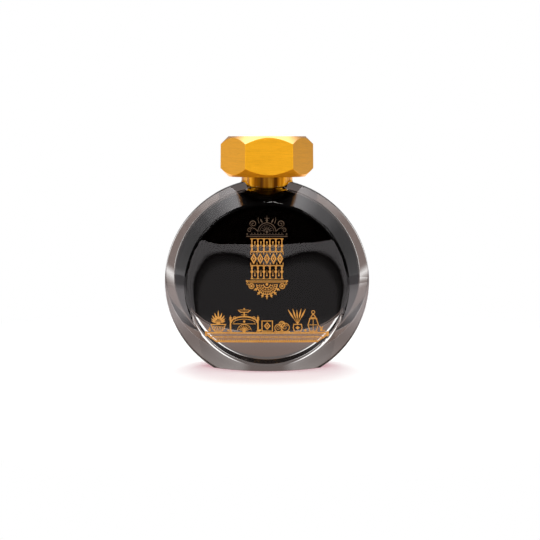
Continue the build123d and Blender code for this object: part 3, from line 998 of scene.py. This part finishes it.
def front_shade(m, x, y):
    """Painted shade for the table in front, as the glass mirrors it: a dark curved band with a
    bright far side.
    """
    bend = 0.108  # sideways slope at which the band comes nearest to the camera
    nearness = m.math("DIVIDE", 1.0, m.math("MAXIMUM", m.times(y, -1.0), 0.02))
    slope = m.size(m.times(x, nearness))
    inside = m.math("MAXIMUM", m.minus(bend, slope), 0.0)
    outside = m.math("MAXIMUM", m.minus(slope, bend), 0.0)
    curve = m.plus(m.times(inside, inside, 90.0), m.times(outside, outside, 150.0))
    band_at = m.plus(0.74, curve)
    pattern = m.noise(m.coords((9, 9, 9)), scale=1.0, detail=3.0, rough=0.6)
    wobble = m.times(m.minus(pattern, 0.5), 0.25)
    offset = m.plus(m.minus(nearness, band_at), wobble)
    shade = m.ramp(
        m.math("ADD", m.times(offset, 0.4), 0.4, clamp=True),
        greys([(0.0, 3.6), (0.32, 3.0), (0.43, 0.10), (0.52, 0.30), (0.80, 1.0)]),
        "EASE",
    )
    # only in a fan that opens to the front
    in_fan = m.times(m.below(y, -0.06), m.smooth(slope, 0.75, 0.40))
    return m.mix(in_fan, (1, 1, 1), shade)


def table_mirrored(m, x, y, radius, incoming):
    """Painted light for reflections: the softer tone of a lit sheet, with painted shade close
    round the bottle.
    """
    sideways = m.smooth(m.minus(y, m.times(m.size(x), -0.9)), -0.10, -0.01)
    beside = m.ramp(
        m.math("MULTIPLY", radius, 2.0, clamp=True),
        [(0.0, SIDE_TONE), (0.34, SIDE_TONE), (0.62, FAR_TONE), (1.0, FAR_TONE)],
    )
    tones = m.mix(sideways, SHEET_TONE, beside)
    tones = m.mix(m.smooth(radius, 0.034, 0.075), NEAR_SHADE_TONE, tones)
    tones = m.mix(1.0, tones, front_shade(m, x, y), blend="MULTIPLY")
    # painted shade: where the neck mirrors the front, unlit end of the table, the table is
    # painted black; find how high on the bottle the mirrored ray came from
    _, view_y, view_z = m.split(incoming)
    climb = m.math("DIVIDE", view_z, m.math("MAXIMUM", view_y, 0.05))
    height = m.times(y, -1.0, climb)
    neck_painted_shade = m.times(m.above(height, 0.056), m.light_path()["Is Singular Ray"])
    return m.emission(m.mix(m.times(neck_painted_shade, 0.93), tones, (0.0, 0.0, 0.0)))


def table_through(m, y, incoming, path):
    """Painted shade: dim warm patches for the table in the bottle's shadow, but a painted bright
    tone behind for slanted light turned once.
    """
    patch = m.noise(m.coords((14, 14, 14)), scale=1.0, detail=2.0)
    slant = m.smooth(m.size(m.split(incoming)[0]), 0.05, 0.13)
    bright = m.times(m.turned_once(path), slant, m.smooth(y, 0.10, 0.17))
    dim = m.ramp(patch, [(0.3, THROUGH_SHADE_LOW), (0.7, THROUGH_SHADE_HIGH)])
    return m.emission(m.mix(bright, dim, THROUGH_TURNED))


def table_material():
    m = new_material("table")
    here = m.geometry()
    x, y, _ = m.split(here["Position"])
    length = m.add_node("ShaderNodeVectorMath", {0: here["Position"]}, operation="LENGTH")
    radius = length.outputs["Value"]
    seen = table_seen(m, radius)
    mirrored = table_mirrored(m, x, y, radius, here["Incoming"])
    outside = m.mix_shader(m.light_path()["Is Glossy Ray"], seen, mirrored)
    path = m.light_path()
    through = table_through(m, y, here["Incoming"], path)
    return m.finish(m.mix_shader(path["Is Transmission Ray"], outside, through))


bpy.ops.mesh.primitive_circle_add(
    vertices=128, radius=TABLE_RADIUS, fill_type="NGON", location=(0, 0, 0)
)
table = bpy.context.object
table.name = "table_top"
table.data.materials.append(table_material())

# ---------------------------------------------------------------- studio
# The studio by direction: white seen directly; soft boxes for reflections;
# a dimmer room for what is seen through the glass; even light for the rest.
COOL = (1.0, 0.965, 0.985)
WARM = (1.0, 0.925, 0.92)
PINK = (1.0, 0.86, 0.83)
ROSE = (1.0, 0.74, 0.67)


def room_behind(w, x, y, z, across):
    """Lamps and walls to the sides and behind."""
    levels = [(0.0, 1.30), (0.25, 1.00), (0.55, 1.05), (0.75, 1.55), (0.88, 3.2), (1.0, 3.0)]
    # the table of lamps overhead has a gap in the middle, the wall straight
    # behind the bottle is dim and the right-hand box is weaker
    gap = w.plus(w.times(w.smooth(across, 0.08, 0.30), 0.40), 0.60)
    back = w.dimmed(w.smooth(y, 0.38, 0.58), 0.72)
    right = w.dimmed(w.smooth(x, 0.2, 0.6), 0.12)
    return w.scaled(w.ramp(z, greys(levels, COOL)), w.times(gap, back, right))


def room_in_front(w, z, across):
    """The camera side of the room: dark low in the middle, brighter outwards."""
    middle = greys([(0.0, 0.01), (0.10, 0.02), (0.20, 1.12), (0.85, 1.80), (1.0, 1.95)])
    outer = greys([(0.0, 0.8), (0.10, 1.3), (0.3, 2.1), (1.0, 2.8)])
    return w.mix(w.smooth(across, 0.13, 0.24), w.ramp(z, middle), w.ramp(z, outer))


def sharp_reflections(w, generated, x, y, z, across, front, behind):
    # no lamp straight overhead: the shoulder under the cap mirrors a dark gap
    # with a thin amber edge, a painted reflection of the cap's dark underside and lit rim
    painted_cap_edge = [
        (0.0, grey(0.02)),
        (0.295, grey(0.02)),
        (0.32, (0.42, 0.20, 0.075)),
        (0.35, grey(1.0)),
    ]
    high = w.times(w.smooth(z, 0.45, 0.70), w.minus(1.0, w.smooth(y, 0.46, 0.60)))
    edge = w.mix(high, w.combine(1.0, 1.0, 1.0), w.ramp(across, painted_cap_edge))
    gapped = w.vector_math("MULTIPLY", behind, edge)
    # only satin surfaces gather the lamps on the camera side
    color = w.mix(w.smooth(y, -0.25, 0.05), w.scaled(front, 0.02), gapped)
    # one soft box at each front quarter and a short tube overhead: thin
    # highlights along the rounded edge of the face
    quarter = w.times(
        w.band(across, rise=(0.36, 0.46), fall=(0.66, 0.80)),
        w.band(y, rise=(-0.72, -0.60), fall=(-0.34, -0.20)),
        w.band(z, rise=(0.30, 0.42), fall=(0.72, 0.82)),
    )
    color = w.mix(quarter, color, w.combine(1.15, 1.12, 1.14))
    tube = w.times(
        w.band(x, rise=(-0.06, -0.02), fall=(0.16, 0.22)),
        w.band(y, rise=(-0.18, -0.10), fall=(-0.02, 0.05)),
        w.smooth(z, 0.85, 0.92),
    )
    color = w.mix(tube, color, w.combine(4.5, 4.4, 4.4))
    # the wall beside the bottle is dim below the lamps, with an uneven upper
    # edge where things stand in front of them
    broken = w.noise(generated, scale=7.0, detail=3.0, rough=0.65)
    uneven = w.plus(z, w.times(w.minus(broken, 0.5), 0.45))
    beside = w.times(
        w.band(uneven, rise=(0.00, 0.06), fall=(0.50, 0.68)),
        w.band(y, rise=(0.04, 0.14), fall=(0.42, 0.54)),
    )
    return w.scaled(color, w.dimmed(beside, 0.34))


def room_through_glass(w, y, across):
    room = w.ramp(
        w.map_range(y, -1.0, 1.0),
        [
            (0.0, grey(0.02, WARM)),
            (0.35, grey(0.10, WARM)),
            (0.50, grey(0.24, PINK)),
            (0.80, grey(0.22, ROSE)),
            (1.0, grey(0.13, PINK)),
        ],
    )
    # light turned once inside the glass comes from the white wall behind
    turned = w.turned_once(w.light_path())
    mask = w.times(turned, w.smooth(across, 0.10, 0.20), w.smooth(y, 0.84, 0.94))
    return w.mix(mask, room, w.combine(1.25, 1.21, 1.20))


def build_world():
    w = Nodes(bpy.data.worlds.new("studio"), "ShaderNodeOutputWorld")
    generated = w.add_node("ShaderNodeTexCoord").outputs["Generated"]
    x, y, z = w.split(generated)
    across = w.size(x)
    front = room_in_front(w, z, across)
    behind = room_behind(w, x, y, z, across)
    soft = w.mix(w.smooth(y, -0.55, -0.15), front, behind)
    sharp = sharp_reflections(w, generated, x, y, z, across, front, behind)
    reflected = w.mix(w.light_path()["Is Singular Ray"], soft, sharp)
    through = room_through_glass(w, y, across)
    path = w.light_path()
    shader = w.background((1.0, 0.99, 0.985), strength=0.55)
    shader = w.mix_shader(path["Is Glossy Ray"], shader, w.background(reflected))
    shader = w.mix_shader(path["Is Transmission Ray"], shader, w.background(through))
    shader = w.mix_shader(path["Is Camera Ray"], shader, w.background((1, 1, 1)))
    return w.finish(shader)


scene = bpy.context.scene
scene.world = build_world()


def aim_at(obj, location, target):
    obj.location = location
    direction = Vector(target) - Vector(location)
    obj.rotation_euler = direction.to_track_quat("-Z", "Y").to_euler()


def area_light(name, location, target, width, height, power):
    """Rectangular lamp that shows in no reflection, through no glass."""
    light = bpy.data.lights.new(name, "AREA")
    light.shape = "RECTANGLE"
    light.size = width
    light.size_y = height
    light.energy = power
    obj = bpy.data.objects.new(name, light)
    scene.collection.objects.link(obj)
    aim_at(obj, location, target)
    obj.visible_camera = False
    obj.visible_glossy = False
    obj.visible_transmission = False


area_light("top_soft", (0, 0.40, 0.70), target=(0, 0, 0.0), width=0.8, height=0.5, power=7.0)
area_light(
    "front_soft", (0.0, -0.70, 0.60), target=(0, 0, 0.05), width=0.9, height=0.4, power=4.0
)

# ---------------------------------------------------------------- camera
CAMERA_X = BOTTLE_X + 0.001032
CAMERA_DISTANCE = 0.480
AIM_Z = CAP_TOP - 0.0459928  # the camera stands level with the cap top, looking down
VIEW_WIDTH = 0.186506  # width of the view at the aim point
SENSOR_WIDTH = 36

eye = Vector((CAMERA_X, -CAMERA_DISTANCE, CAP_TOP))
aim = Vector((CAMERA_X, 0, AIM_Z))
camera = bpy.data.cameras.new("cam")
camera.sensor_width = SENSOR_WIDTH
camera.sensor_fit = "HORIZONTAL"
camera.clip_start = 0.01
camera.clip_end = 50
camera.lens = SENSOR_WIDTH * (aim - eye).length / VIEW_WIDTH
camera_obj = bpy.data.objects.new("cam", camera)
scene.collection.objects.link(camera_obj)
aim_at(camera_obj, eye, aim)
scene.camera = camera_obj

scene.view_settings.view_transform = "Standard"
scene.view_settings.look = "None"
scene.cycles.max_bounces = 16
scene.cycles.glossy_bounces = 8
scene.cycles.transmission_bounces = 16
scene.cycles.transparent_max_bounces = 12
